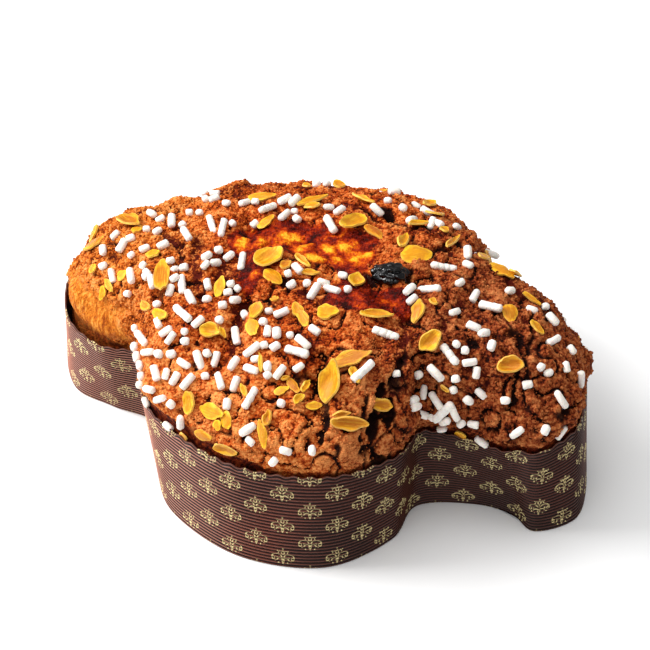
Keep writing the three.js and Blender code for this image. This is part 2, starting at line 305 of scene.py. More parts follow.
def total(start, *parts):  # each part is a value and its share
    for value, share in parts:
        start = calc("MULTIPLY_ADD", value, share, start)
    return start


def span(value, low, high, start=0.0, end=1.0):
    node = newNode("MapRange", interpolation_type="SMOOTHSTEP")
    for socket, given in zip(node.inputs, (value, low, high, start, end)):
        plug(socket, given)
    return node.outputs[0]


def mix(share, first, second):
    node = newNode("Mix", data_type="RGBA")
    for index, value in ((0, share), (6, first), (7, second)):
        plug(node.inputs[index], value)
    return node.outputs[2]


def coated(tone, *coats):  # each coat is its share and its colour
    for share, over in coats:
        tone = mix(share, tone, over)
    return tone


def ramp(value, stops):  # stops: where each tone starts, and the tone
    node = newNode("ValToRGB")
    plug(node.inputs[0], value)
    elements = node.color_ramp.elements
    first, *between, last = stops
    for element, (place, code) in zip(elements, (first, last)):
        element.position, element.color = place, colour(code)
    for place, code in between:
        elements.new(place).color = colour(code)
    return node.outputs[0]


def grain(size, detail=2, roughness=0.5, coords=None):  # size in millimetres
    node = newNode("TexNoise")
    plug(node.inputs["Vector"], coords or board["coords"])
    for name, value in (("Scale", 1000 / size), ("Detail", detail), ("Roughness", roughness)):
        node.inputs[name].default_value = value
    return node.outputs["Fac"]


def cells(size):
    node = newNode("TexVoronoi")
    plug(node.inputs["Vector"], board["coords"])
    node.inputs["Scale"].default_value = 1000 / size
    return node.outputs["Distance"]


def layer(name):
    return newNode("Attribute", attribute_name=name).outputs["Fac"]


def split(vector):
    node = newNode("SeparateXYZ")
    plug(node.inputs[0], vector)
    return node.outputs


def paint(tone, height=None, strength=1, depth=1):  # the colour, and a bump with its depth in millimetres
    plug(board["shader"].inputs["Base Color"], tone)
    if height:
        node = newNode("Bump")
        for name, value in (("Strength", strength), ("Distance", depth / 1000), ("Height", height)):
            plug(node.inputs[name], value)
        plug(board["shader"].inputs["Normal"], node.outputs[0])
    return board["material"]


crust = {
    "columns": 640,          # round the bread
    "lowerRows": 6,          # inside the case
    "domeRows": 139,
    "foot": 1.1,             # over the floor
    "inset": 2.3,            # from the case's outer face
    "spineShare": 0.68,
    "crown": (97, 109, 111, 111, 102),  # heights along the spine, head to tail
    "crownReach": 101,
    "swell": 2.8,
    "cragSize": 14,
    "cragHeight": 2.4,
    "wander": 2.2,           # how far slits and plates stray from their lines
    "crackleDepth": 2.2,
    "cavityRounds": 8,       # how far round a point its surroundings reach
    "wingRim": 6, "tailRim": 1.5,  # the dark bare bands over the case, where the glaze ends higher
    "flankLine": ((-150, -128, -100, -78, -60), (-6, -20, -39, -47, -60)),  # where the bare flank starts
    "granules": {            # the textures' scale, depth and middle
        "VORONOI": (0.0027, -0.0014, 0.35), "CLOUDS": (0.0016, 0.0010, 0.5),
    },
    "hollows": [             # from, to, radius, depth
        (-36, 6, 16, 10, 19, 4), (36, -12, 52, -24, 12, 3.5), (-46, 54, -16, 60, 13, 3.2),
        (-60, 56, -48, 66, 12, 5.5), (-26, 84, -8, 88, 9, 3), (40, 84, 54, 78, 12, 3.5),
        (-142, -10, -135, 4, 10, 4.5), (-124, 8, -118, 18, 11, -3.5), (-38, -12, -22, -40, 7, 3.5),
        (-22, -40, -22, -76, 6, 3.5), (-76, -10, -48, -44, 6, 3), (24, -62, 34, -90, 7, 3),
        (48, -34, 54, -62, 7, 2.2), (60, -64, 58, -80, 6, 3), (58, -26, 72, -44, 8, 3),
        (80, -28, 116, -30, 7, 1.2), (90, -14, 116, -12, 6, 2.5), (14, 46, 32, 52, 8, 4),
        (-94, 18, -66, 34, 7, 2.5), (60, 28, 52, 66, 7, 3), (-30, 74, 0, 88, 7, 3), (74, 32, 112, 22, 13, -3),
    ],
    "slits": [               # narrow cracks, painted dark with shade in the material: from, to, radius, depth
        (38, -83, 38, -90, 2.4, 2.5), (58, -62, 59, -76, 3.4, 4), (63, -64, 63, -70, 2.4, 3),
        (55, -80, 57, -83, 2.2, 2), (32, -92, 32, -95, 2.0, 1.8), (46, -90, 47, -93, 2.0, 2),
        (52, -70, 53, -76, 2.4, 2.5), (110, -26, 113, -35, 2.4, 2.4), (135, -28, 137, -25, 2.4, 2),
        (112, -19, 116, -26, 2.4, 2), (27, -5, 31, -9, 3.2, 2.4), (46, 4, 48, -1, 3.2, 2.4),
        (10, 46, 20, 41, 3.6, 3), (13, 54, 28, 42, 3.6, 3.2), (58, 46, 62, 38, 2.4, 2),
        (70, -8, 78, -16, 2.2, 1.6), (62, -42, 62, -58, 3, 3), (24, -58, 29, -72, 2.6, 2.2),
        (29, -72, 36, -84, 2.4, 2),
    ],
    "channels": [            # wider maroon cracks between plates of glaze: from, to, radius, depth
        (-43, -18, -36, -36, 7, 1.2), (-36, -36, -24, -46, 6, 1.2), (-24, -42, -19, -62, 5, 1.4),
        (-19, -62, -15, -74, 5, 1.3), (-62, -8, -56, -26, 5, 1.4), (-56, -26, -44, -45, 5, 1.4),
        (-8, -26, 18, -31, 6, 1.0), (54, -30, 61, -43, 7, 1.3), (61, -43, 60, -64, 6, 1.4),
        (72, -26, 74, -4, 4, 1.2), (10, -52, 24, -58, 4, 1.0), (36, -74, 48, -79, 4, 1.2),
        (84, -30, 98, -33, 4, 0.8), (-88, -4, -70, -14, 5, 1.2), (-70, -14, -62, -30, 4, 1.2),
        (28, 40, 50, 44, 6, 1.2), (-60, 30, -34, 26, 5, 1.2), (50, 20, 60, 34, 5, 1.1),
        (-20, 40, 6, 46, 5, 1.2), (92, -2, 116, 2, 4, 1.1), (30, 70, 8, 84, 5, 1.2),
        (-44, 60, -26, 80, 5, 1.2), (-73, 31, -48, 50, 5, 1.1), (88, 22, 112, 18, 5, 1.2),
        (-106, 16, -84, 22, 5, 1.2),
    ],
    "burst": [               # where the crust tore open: from, to, radius
        (-38, 0, 14, 8, 17), (-32, 15, 16, 20, 10), (16, 0, 24, -12, 11), (24, -24, 50, -17, 14),
        (-26, -12, -26, -30, 10),
    ],
    "gold": [                # where the yellow crumb shows: x, y, radius
        (-24, 8, 9), (-32, 1, 7), (-10, 4, 8), (-1, -2, 8), (8, 3, 7), (10, 12, 8), (17, 4, 8), (-40, -3, 7),
        (2, 8, 6), (-9, -35, 5), (-18, 12, 6), (22, 10, 5),
    ],
    "slabs": [               # lifted plates with a ragged edge: from, to, radius, height
        (-72, 38, -67, 47, 9, 2.3), (-90, 26, -80, 32, 8, 0.8), (58, 40, 74, 26, 8, 1.6),
    ],
}


def smoothCrust(wall):
    edge = onWall(wall, wall["height"], crust["inset"] + wall["shrink"])
    spineX = (edge[:, 0] + edge[mirrored(len(edge)), 0]) / 2 * crust["spineShare"]
    heights, reach = np.array(crust["crown"], float), crust["crownReach"]
    place = np.clip((spineX + reach) / (2 * reach), 0, 1) * (len(heights) - 1)
    index = np.minimum(np.floor(place).astype(int), len(heights) - 2)
    ends = [heights[np.clip(index + step, 0, len(heights) - 1)] for step in (-1, 0, 1, 2)]
    top = catmullRom(*ends, place - index)
    turn = np.linspace(0, math.pi / 2, 300)[:, None]
    share = 1 - np.cos(turn) ** (2 / wall["fullness"])
    rise = np.sin(turn) ** (2 / wall["fullness"])
    share[-1], rise[-1] = 1, 1
    z = edge[:, 2] + (top - edge[:, 2]) * rise
    over = crust["swell"] * np.sin(math.pi * np.clip((z - edge[:, 2] - 2.5) / 24, 0, 1))
    x = edge[:, 0] + (spineX - edge[:, 0]) * share + wall["out"][:, 0] * over
    fine = np.stack([x, edge[:, 1] * (1 - share) + wall["out"][:, 1] * over, z], -1)
    lengths = np.cumsum(np.linalg.norm(np.diff(fine, axis=0, prepend=fine[:1]), axis=2), axis=0)
    rows = np.empty((crust["domeRows"] + 1, len(edge), 3))
    for column in range(len(edge)):
        wanted = np.linspace(0, lengths[-1, column], crust["domeRows"] + 1)
        for axis in range(3):
            rows[:, column, axis] = np.interp(wanted, lengths[:, column], fine[:, column, axis])
    rows[-1] = np.stack([spineX, 0 * spineX, top], -1)
    lower = []
    for level in np.arange(crust["lowerRows"]) / crust["lowerRows"]:
        z = crust["foot"] + (wall["height"] - crust["foot"]) * level
        lower.append(onWall(wall, z, crust["inset"] + wall["shrink"] * level ** 3))
    return np.concatenate([np.array(lower), rows])


def gridNormals(grid):
    along = np.roll(grid, -1, 1) - np.roll(grid, 1, 1)
    up = np.empty_like(grid)
    up[1:-1] = grid[2:] - grid[:-2]
    up[0], up[-1] = grid[1] - grid[0], grid[-1] - grid[-2]
    normal = np.cross(along, up)
    for row, share in ((-1, 0.5), (-2, 0.3), (-3, 0.15)):  # the spine's normals are shared by its two sides
        normal[row] = normal[row] * (1 - share) + normal[row][mirrored(grid.shape[1])] * share
    return normal / np.maximum(np.linalg.norm(normal, axis=2, keepdims=True), 1e-9)


def makeCrust():
    wall = wallRound(crust["columns"] // 2)
    smooth = smoothCrust(wall)
    smoothNormals = gridNormals(smooth)
    x, y, z = np.moveaxis(smooth, 2, 0)
    above = z - wall["height"]

    def noise(size, shift=0):
        return lumps(x / size, y / size, z / size + shift)

    def depthOf(name, x, y):
        return sum(depth * nearLine(x, y, *line) for *line, depth in crust[name])

    crags = crust["cragHeight"] * (noise(crust["cragSize"]) + 0.5 * noise(crust["cragSize"] / 2, 9))
    broad = ease(2, 16, above) * (crags - depthOf("hollows", x, y))
    grid = smooth + smoothNormals * broad[..., None]

    # finer forms: wandering slits, plates of glaze, the burst's crumb and the step down to the bare flank
    strayX, strayY = x + crust["wander"] * noise(6, 31), y + crust["wander"] * noise(6, 57)
    slit, channel = depthOf("slits", strayX, strayY), depthOf("channels", strayX, strayY)
    burst = ease(0.12, 0.5, np.max([nearLine(strayX, strayY, *line) for line in crust["burst"]], axis=0))
    gold = np.max([1 - np.hypot(strayX - a, strayY - b) / r for a, b, r in crust["gold"]], axis=0).clip(0)
    slab = sum(rise * ease(0.2, 0.36, nearLine(strayX, strayY, *line)) for *line, rise in crust["slabs"])
    bareSide = ease(-3, 3, np.interp(x, *crust["flankLine"]) - y + 3 * noise(6)) * ease(-72, -79, x)
    wingRim = crust["wingRim"] * ease(20, -10, x) * ease(-70, -78, y) * ease(-70, -56, x)
    tailRim = crust["tailRim"] * ease(84, 96, x) * ease(-26, -32, y)
    glaze = (1 - bareSide) * ease(-0.5, 2, above - wingRim - tailRim + 2.5 * noise(8, 3))
    firm = glaze * (1 - 0.6 * burst)
    crackle = creases(x / 8 + 4, y / 8, z / 8, 0.18) * ease(-0.7, 0, noise(18, 7) + x / 200) * firm
    wrinkles = lumps(x / 2.2, y / 2.2, z / 9) * bareSide * ease(0, 30, above) * 0.5
    fine = ease(0, 5, above) * (0.8 * firm * (noise(4.6) + 0.6 * noise(2.4)) + 0.9 * glaze + slab + wrinkles
                                + burst * (0.9 * noise(4, 3) + 0.8 * gold)
                                - slit - channel - crust["crackleDepth"] * crackle)
    grid = grid + gridNormals(grid) * fine[..., None]

    piece, row, column = openTube("crust", crust["columns"], len(grid))
    setPoints(piece, grid[row, column] / 1000)
    # slit marks the cracks and the crackle that the material paints with shade
    values = {"glaze": glaze, "burst": burst, "gold": gold, "flank": bareSide, "maroon": channel.clip(0, 1),
              "slit": np.maximum(slit / 2.2, 0.85 * crackle).clip(0, 1), "above": (above / 20).clip(-1, 3)}
    for name, value in values.items():
        setValue(piece, name, value[row, column])
    setValue(piece, "place", row * crust["columns"] + column)

    # the two sides meet along the spine, and the foot is closed
    editWith(piece, "VERT", lambda vert: abs(vert.co.y) < 0.002 and vert.co.z > 0.08 or vert.co.z < 0.0012)
    bpy.ops.mesh.remove_doubles(threshold=0.000002)
    editWith(piece, "VERT", lambda vert: vert.is_boundary)
    bpy.ops.mesh.edge_face_add()
    objectMode()

    # granules of the glaze, by two procedural textures
    group = piece.vertex_groups.new(name="glazed")
    weights = getValue(piece, "glaze") * (1 - 0.6 * getValue(piece, "burst"))
    for index, weight in enumerate(weights.clip(0, 1)):
        if weight > 0.01:
            group.add([index], float(weight), "REPLACE")
    for kind, (scale, depth, middle) in crust["granules"].items():
        texture = bpy.data.textures.new(kind.lower(), kind)
        texture.noise_scale = scale
        modifier = piece.modifiers.new(kind.lower(), "DISPLACE")
        modifier.texture, modifier.texture_coords, modifier.vertex_group = texture, "LOCAL", "glazed"
        modifier.strength, modifier.mid_level = depth, middle
    applyAll(piece)
    piece.vertex_groups.clear()

    # how deep each point lies below its surroundings
    row, column = np.divmod(np.round(getValue(piece, "place")).astype(int), crust["columns"])
    height = np.zeros(grid.shape[:2])
    height[row, column] = np.einsum("ij,ij->i", getPoints(piece) * 1000 - smooth[row, column],
                                    smoothNormals[row, column])
    height[-1] = np.where(height[-1] == 0, height[-1][mirrored(crust["columns"])], height[-1])
    around = height
    for _ in range(crust["cavityRounds"]):
        padded = np.pad(around, ((1, 1), (0, 0)), mode="edge")
        around = (padded[2:] + padded[:-2] + np.roll(around, 1, 1) + np.roll(around, -1, 1)) / 4
    setValue(piece, "cavity", (around - height)[row, column])
    mapCrust(piece, smooth, row, column)
    piece.data.attributes.remove(piece.data.attributes["place"])
    return piece


def mapCrust(piece, grid, row, column):  # a flat map for the export: the dome spread out, the foot under it
    steps = np.linalg.norm(np.diff(grid, axis=0), axis=2)
    down = np.append(np.cumsum(steps[::-1], axis=0)[::-1], np.zeros((1, grid.shape[1])), axis=0)
    spine = grid[-1, :, :2]
    flat = spine + 1.6 * (grid[crust["lowerRows"], :, :2] - spine) * (down / down[0])[..., None]
    low, high = flat.min((0, 1)), flat.max((0, 1))
    flat = (flat - low) / (high - low) * (0.98, 0.72) + (0.01, 0.27)
    foot = (grid[0, :, :2] - grid[0, :, :2].min(0)) / 1000 + 0.01
    loops = pull(piece.data.loops, "vertex_index", 1, int)
    uv = flat[row[loops], column[loops]]
    for face in piece.data.polygons:
        if len(face.vertices) > 4:
            own = slice(face.loop_start, face.loop_start + face.loop_total)
            uv[own] = foot[column[loops[own]]]
    setMap(piece, "OFBake", uv)


crustLook = {  # where each tone starts, from the gaps between granules to their tops; the tail's tones are darker partly from baking and partly as painted shade
    "head": ((0.22, "5a1a07"), (0.34, "a4480f"), (0.47, "d67628"), (0.76, "f6ac62")),
    "wing": ((0.23, "300a03"), (0.36, "8c2c0a"), (0.49, "c25619"), (0.76, "f29a52")),
    "tail": ((0.22, "1e0704"), (0.34, "62200b"), (0.47, "984620"), (0.76, "cc7e48")),
    "flank": ((0.34, "9c480f"), (0.45, "c66a18"), (0.55, "dc842c"), (0.68, "f2a84c")),
    "darkBand": ((0.34, "200805"), (0.50, "541608"), (0.66, "8e3a14")),
    "burst": ((0.05, "2c0805"), (0.27, "6a1206"), (0.45, "a42e08"), (0.60, "cc540c"), (0.75, "e88212"),
              (0.92, "f8b42c")),
    # deep is painted shade, for the hollows and the cracks
    "deep": "160503", "maroon": "4a0e06", "dry": 0.72, "moist": 0.32,
}


def crustMaterial():
    look = crustLook
    startMaterial("bakedGlaze", Specular_IOR_Level=0.07)
    x, y, _ = split(board["coords"])
    patches, blotches, specks, fleck = grain(22, 3), grain(7, 3), grain(2.8, 3, 0.6), grain(1.2, 3, 0.65)
    cavity, burst = layer("cavity"), layer("burst")
    # granules: rounded cells of two sizes, uneven flecks, painted shade in the hollows and crumbs lighter
    granules = total(0.51, (cells(1.8), -0.3), (cells(1.0), -0.2))
    mixed = total(granules, (1, -0.85), (fleck, 0.55), (specks, 0.5), (blotches, 0.75), (patches, 0.3),
                  # painted light: the wing's front, below y -55 mm, is made lighter
                  (span(y, -0.055, -0.08, 0, 0.12), 1), (cavity, -0.18), (layer("crumb"), 0.05))
    # toward the tail the tones darken, partly from baking and partly as painted shade
    toWing = span(total(x, (patches, 0.04)), -0.085, -0.02)
    toTail = span(total(x, (patches, 0.06)), 0.045, 0.11)
    glazed = coated(ramp(mixed, look["head"]), (toWing, ramp(mixed, look["wing"])),
                    (toTail, ramp(mixed, look["tail"])), (span(cavity, 0.25, 1.0, 0, 0.85), look["deep"]))
    # bare golden flank with upright wrinkles on the head, a darker tone low along the case and on the wing
    stretch = newNode("Mapping")
    stretch.inputs["Scale"].default_value = (1, 1, 0.25)
    plug(stretch.inputs["Vector"], board["coords"])
    streaks = total(grain(1.6, 3, 0.6, stretch.outputs[0]), (span(patches, 0.5, 0.7, 0, 0.08), -1))
    darkBandShare = times(span(layer("above"), 0.12, 0.5, 1, 0), span(layer("flank"), 0, 1, 1, 0.8))
    darkBandShare = calc("MAXIMUM", darkBandShare, span(x, -0.075, -0.062))
    bare = mix(darkBandShare, ramp(streaks, look["flank"]), ramp(specks, look["darkBand"]))
    # maroon channels, and the burst: deep red, orange and golden crumb
    channels = times(layer("maroon"), span(mixed, 0.42, 0.6, 0.9, 0.2))
    inBurst = span(total(burst, (blotches, 0.3)), 0.35, 0.8)
    heat = total(-0.5025, (layer("gold"), 0.62), (blotches, 0.9), (mixed, 0.75))
    # the slits and the crackle get deep, painted shade in the cracks
    tone = coated(bare, (layer("glaze"), glazed), (channels, look["maroon"]),
                  (inBurst, ramp(heat, look["burst"])),
                  (span(layer("slit"), 0.2, 0.85, 0, 0.94), look["deep"]))
    plug(board["shader"].inputs["Roughness"], span(burst, 0, 1, look["dry"], look["moist"]))
    return paint(tone, total(fleck, (granules, 1.6)), 0.9, 1.2)


crumbs = {  # loose grains of the glaze: how many of each kind, their sizes in millimetres, and the draw
    "perSide": 98,           # crumbs along each side of their flat map
    "glazeCrumbs.coarse": {"count": 9500, "small": 0.8, "large": 2.1, "seed": 7},
    "glazeCrumbs.fine": {"count": 9500, "small": 0.6, "large": 1.2, "seed": 19},
}


def crumbModel(seed):
    selectOnly()
    bpy.ops.mesh.primitive_ico_sphere_add(subdivisions=1, radius=0.5)
    piece = bpy.context.object
    ball = getPoints(piece)
    # each face's place on the crumb's round flat map: the top in the middle, the bottom at the rim
    flat = []
    for face in piece.data.polygons:
        corners = ball[list(face.vertices)]
        side = corners[np.abs(corners[:, 2]) < 0.45][:, :2].sum(0)
        for corner in corners:
            heading = side if corner[2] < -0.45 else corner[:2]
            reach = 0.48 * math.acos(np.clip(corner[2] * 2, -1, 1)) / math.pi
            flat.append(0.5 + reach * heading / max(np.hypot(*heading), 1e-6))
    x, y, z = ball.T * 2.6
    setPoints(piece, ball * (1 + 0.4 * lumps(x + seed, y, z))[:, None] * (1.15, 0.95, 0.8))
    return piece, np.array(flat)


def makeCrumbs(name, source):
    kind = crumbs[name]
    chance = np.random.default_rng(kind["seed"])
    corners = triangles(source)
    a, b, c = (getPoints(source)[corners[:, k]] * 1000 for k in range(3))
    cross = np.cross(b - a, c - a)
    area = np.linalg.norm(cross, axis=1)
    keep = getValue(source, "glaze")
    for layerName, less in (("burst", 0.75), ("slit", 0.8), ("maroon", 0.5)):
        keep = keep * (1 - less * getValue(source, layerName))
    weight = area * keep[corners[:, 0]] ** 2
    chosen = chance.choice(len(weight), kind["count"], replace=False, p=weight / weight.sum())
    models = [crumbModel(seed) for seed in (3, 8, 14)]
    inherited = {"crumb": np.ones(len(chosen))}
    for key in ("burst", "gold", "glaze", "above"):
        inherited[key] = getValue(source, key)[corners[chosen, 0]]
    copies, maps = [], []
    for index, face in enumerate(chosen):
        normal = cross[face] / area[face]
        size = kind["small"] + (kind["large"] - kind["small"]) * chance.random() ** 2.2
        axes = axesOn(normal, chance.uniform(0, 2 * math.pi)) * size * chance.uniform(0.8, 1.2, (3, 1))
        model, flat = models[index % 3]
        maps.append((flat + (index % crumbs["perSide"], index // crumbs["perSide"])) / crumbs["perSide"])
        middle = (a[face] + b[face] + c[face]) / 3 + normal * 0.15 * size
        copies.append((model, axes, middle, {key: values[index] for key, values in inherited.items()}))
    piece = joinCopies(name, copies, [model for model, _ in models])
    setMap(piece, "OFBake", np.concatenate(maps))
    return piece


raisin = {
    "size": (19, 14, 11), "turn": 15, "skin": "030203", "bloom": "08070a",
    "folds": ((2.7, 0.2), (1.5, 0.11), (0.75, 0.03)),  # how wide and how deep
}


def makeRaisin(seat):
    selectOnly()
    bpy.ops.mesh.primitive_ico_sphere_add(subdivisions=6, radius=1)
    piece = bpy.context.object
    piece.name = piece.data.name = "raisin.wrinkled"
    ball = getPoints(piece)
    x, y, z = (ball * 3).T
    form = 1.04 + 0.09 * lumps(x, y, z)
    for size, depth in raisin["folds"]:
        form = form - depth * creases(x / size + 5, y / size, z / size, 0.4) ** 1.5
    points = ball * form[:, None] * np.array(raisin["size"]) / 2
    turn = math.radians(raisin["turn"])
    spin = np.array([[math.cos(turn), math.sin(turn), 0], [-math.sin(turn), math.cos(turn), 0], [0, 0, 1]])
    setPoints(piece, (points @ spin + seat) / 1000)
    return piece


def raisinMaterial():
    startMaterial("raisinSkin", Roughness=0.14, Specular_IOR_Level=0.4)
    return paint(mix(span(grain(3, 3), 0.5, 0.75), raisin["skin"], raisin["bloom"]), grain(1.2), 0.15, 0.3)


paper = {
    "columns": 624, "ribs": 28, "rowsPerRib": 4, "ribDepth": 0.45, "thickness": 0.8, "pinkedDepth": 1.4,
    # groove is painted shade, in the ribs' grooves and round the tail; ridge is a painted highlight on the
    # ribs' crests; lit is a painted sheen on the wing side
    "pinks": 104, "girthRow": 60, "mapRows": 3, "brown": "471f17", "warm": "74301f", "groove": "0c0302",
    "ridge": "946050", "lit": "c48772", "rim": "6e4a40", "gold": "e4d096", "base": ("4a3030", "5c3c38"),
    "motifPitch": 13.3, "motifRise": 22, "motifTall": 1.16, "line": 0.18,
    "strokes": [             # half of the ornament: a drooping scroll, a lobed crown, a small bell and dots
        ("arch", 3.0, -0.7, 2.5, 1.9), ("oval", 4.8, -1.3, 0.7, 0.8), ("arch", 1.5, 1.9, 0.8, 1.2),
        ("oval", 0, 2.2, 0.65, 1.1), ("arch", 1.5, -2.6, 1.5, 1.3), ("oval", 0, -2.7, 0.6, 0.9),
        ("dot", 0, 4.5, 0.42, 0.42), ("dot", 2.6, 3.3, 0.35, 0.35), ("dot", 3.0, -0.9, 0.4, 0.4),
        ("dot", 0, -4.4, 0.4, 0.4), ("dot", 3.9, -3.0, 0.35, 0.35), ("dot", 2.2, -4.0, 0.35, 0.35),
    ],
}


def makePaperWall():
    wall = wallRound(paper["columns"] // 2)
    count = paper["columns"]
    pinked = -paper["pinkedDepth"] / 2 * np.cos(2 * math.pi * np.arange(count) * paper["pinks"] / count)
    outerRows = paper["ribs"] * paper["rowsPerRib"]
    levels = []  # how far up, and how far in: the ribbed outside, then the plain inside
    for k in range(outerRows + 1):
        rib = paper["ribDepth"] * (1 - math.cos(2 * math.pi * k / paper["rowsPerRib"])) / 2
        levels.append((k / outerRows, rib if 0 < k < outerRows else 0.1))
    levels += [(share, paper["thickness"]) for share in (1, 0.97, 0.5, 0)]
    grid = np.array([onWall(wall, wall["height"] * share + pinked * ease(0.9, 1, share), inset)
                     for share, inset in levels])
    piece, row, column = openTube("paperWall", count, len(grid))
    setPoints(piece, grid[row, column] / 1000)
    setValue(piece, "rim", np.isin(row, (outerRows, outerRows + 1)) * 1.0)
    setValue(piece, "rib", np.minimum(row, outerRows) / paper["rowsPerRib"])
    editWith(piece, "EDGE", lambda edge: edge.is_boundary)
    bpy.ops.mesh.bridge_edge_loops()
    objectMode()
    mapPaper(piece, grid, row, column)
    return piece


def mapPaper(piece, grid, row, column):
    # paperUv unrolls the wall in metres for its print; OFBake packs the strip in a few rows for the export
    count, rows, perRow = paper["columns"], len(grid), paper["columns"] // paper["mapRows"]
    girth = grid[paper["girthRow"]]
    around = np.append(0, np.cumsum(np.linalg.norm(np.diff(girth, axis=0, append=girth[:1]), axis=1)))
    climb = np.append(0, np.cumsum(np.linalg.norm(np.diff(grid[:, 0], axis=0), axis=1)))
    loops = pull(piece.data.loops, "vertex_index", 1, int)
    loopColumn, loopRow = column[loops].reshape(-1, 4), row[loops].reshape(-1, 4)
    wraps = (loopColumn.max(1) - loopColumn.min(1) > 2)[:, None] & (loopColumn == 0)
    loopColumn = np.where(wraps, count, loopColumn)
    setMap(piece, "paperUv", np.stack([around[loopColumn].ravel(), grid[row, column][loops][:, 2]], 1) / 1000)
    part = loopColumn.min(1)[:, None] // perRow
    foot = (loopRow.max(1) - loopRow.min(1) > rows / 2)[:, None] & (loopRow == 0)
    height = np.where(foot, climb[-1] + 1, climb[loopRow]) / (climb[-1] + 3)
    u, v = 0.01 + 0.98 * (loopColumn / perRow - part), (part + 0.01 + 0.98 * height) / paper["mapRows"]
    setMap(piece, "OFBake", np.stack([u.ravel(), v.ravel()], 1))


def drawn(x, y, kind, midX, midY, wide, tall):  # a thin oval, an arch of it, or a dot
    dx = calc("DIVIDE", calc("SUBTRACT", x, midX), wide)
    dy = calc("DIVIDE", calc("SUBTRACT", y, midY), tall)
    reach = calc("SQRT", total(times(dy, dy), (dx, dx)))
    if kind == "dot":
        return span(reach, 1.3, 0.8)
    away = times(calc("ABSOLUTE", calc("SUBTRACT", reach, 1.0)), min(wide, tall))
    line = span(away, paper["line"] * 1.7, paper["line"] * 0.7)
    return times(line, span(dy, -0.1, 0.05)) if kind == "arch" else line


def paperMaterial():
    startMaterial("ribbedPaper", Roughness=0.42, Specular_IOR_Level=0.24)
    u, v, _ = split(newNode("UVMap", uv_map="paperUv").outputs[0])

    def within(value, size):  # how far from the middle of its motif
        return times(calc("SUBTRACT", calc("FRACT", value), 0.5), size)

    along = times(u, 1000 / paper["motifPitch"])
    up = total(4 / paper["motifRise"], (v, 1000 / paper["motifRise"]),
               (calc("MODULO", calc("FLOOR", along), 2), 0.5))
    side = calc("ABSOLUTE", within(along, paper["motifPitch"]))
    rise = within(up, paper["motifRise"] / paper["motifTall"])
    motif = 0
    for stroke in paper["strokes"]:
        motif = calc("MAXIMUM", drawn(side, rise, *stroke), motif)
    ridge = calc("COSINE", times(layer("rib"), 2 * math.pi))
    x = split(board["coords"])[0]  # painted sheen on the ribs of the wing side, painted shade round the tail
    # the print fades in the ribs' grooves, painted shade
    printed = times(times(motif, span(grain(1.2), 0.3, 0.5, 0.5, 1)), span(ridge, -1.0, -0.2, 0.45, 1))
    # painted shade in the ribs' grooves and a painted highlight on their crests
    tone = coated(paper["brown"], (span(grain(60), 0.46, 0.62, 0, 0.6), paper["warm"]),
                  (span(ridge, 0.4, -0.8, 0, 0.9), paper["groove"]),
                  (span(ridge, 0.3, 1.0, 0, 0.6), paper["ridge"]),
                  # painted sheen on the wing side's crests, then painted shade round the tail
                  (times(span(x, 0.015, -0.03, 0, 0.66), span(ridge, -0.2, 1.0)), paper["lit"]),
                  (span(x, 0.015, 0.06, 0, 0.52), paper["groove"]), (layer("rim"), paper["rim"]),
                  (printed, paper["gold"]))
    return paint(tone, total(times(grain(0.5, 3), 0.06), (ridge, 0.2)))


# where the camera stands; pixels count in the photograph's 650 x 650 frame
view = {"place": (0.26717, -0.65379, 0.70038), "tilt": 48, "turn": 22, "lens": 103.57, "sensor": 36,
        "picture": 650, "middleOfBread": (330, 330)}
eye = np.array(view["place"]) * 1000


def rayThrough(px, py):
    turn, tilt = math.radians(view["turn"]), math.radians(view["tilt"])
    right = np.array([math.cos(turn), math.sin(turn), 0])
    up = np.array([-math.sin(turn) * math.cos(tilt), math.cos(turn) * math.cos(tilt), math.sin(tilt)])
    focal = view["lens"] / view["sensor"] * view["picture"]
    middle = view["picture"] / 2
    return unit(right * (px + 0.5 - middle) + up * (middle - py - 0.5) - np.cross(right, up) * focal)


def hitThrough(tree, px, py):  # the crust behind a pixel, or behind the nearest one inwards that meets it
    pixel, hit = np.array([px, py], float), None
    while hit is None:
        hit = tree.ray_cast(Vector(eye), Vector(rayThrough(*pixel)))[0]
        pixel += unit(view["middleOfBread"] - pixel)
    return np.array(hit)


def seatOn(tree, point, room):  # the crust's middle height and tilt round a point
    near = tree.find_nearest_range(Vector(point), room)
    normal = unit(np.mean([spot[1] for spot in near], axis=0))
    heights = (np.array([spot[0] for spot in near]) - point) @ normal
    return point + normal * np.mean(heights), normal


def onPlane(px, py, point, normal):
    way = rayThrough(px, py)
    return eye + way * (np.dot(point - eye, normal) / np.dot(way, normal))


def layByPixels(tree, ends, settings):  # middle, axes and length of a topping with its ends at two pixels
    x0, y0, x1, y1 = ends
    px, py = (x0 + x1) / 2, (y0 + y1) / 2
    seat, normal = seatOn(tree, hitThrough(tree, px, py), settings["room"])
    seat = seat + normal * settings["lift"]
    towards = -rayThrough(px, py)
    facing = max(0, 0.45 - np.dot(normal, towards))  # near the outline the plane turns to the camera
    plane = unit(normal + towards * 1.6 * facing)
    along = onPlane(x1, y1, seat, plane) - onPlane(x0, y0, seat, plane)
    length = np.linalg.norm(along)
    if length < 0.8:
        along = np.cross(normal, towards)
    along = unit(along - normal * np.dot(along, normal))
    middle = seat if facing else onPlane(px, py, seat, plane)
    return middle, np.stack([along, np.cross(normal, along), normal]), length


hiddenSide = {"x": (-140, 145), "y": (-30, 104), "lowest": 62, "lift": 5, "margin": 2}  # millimetres


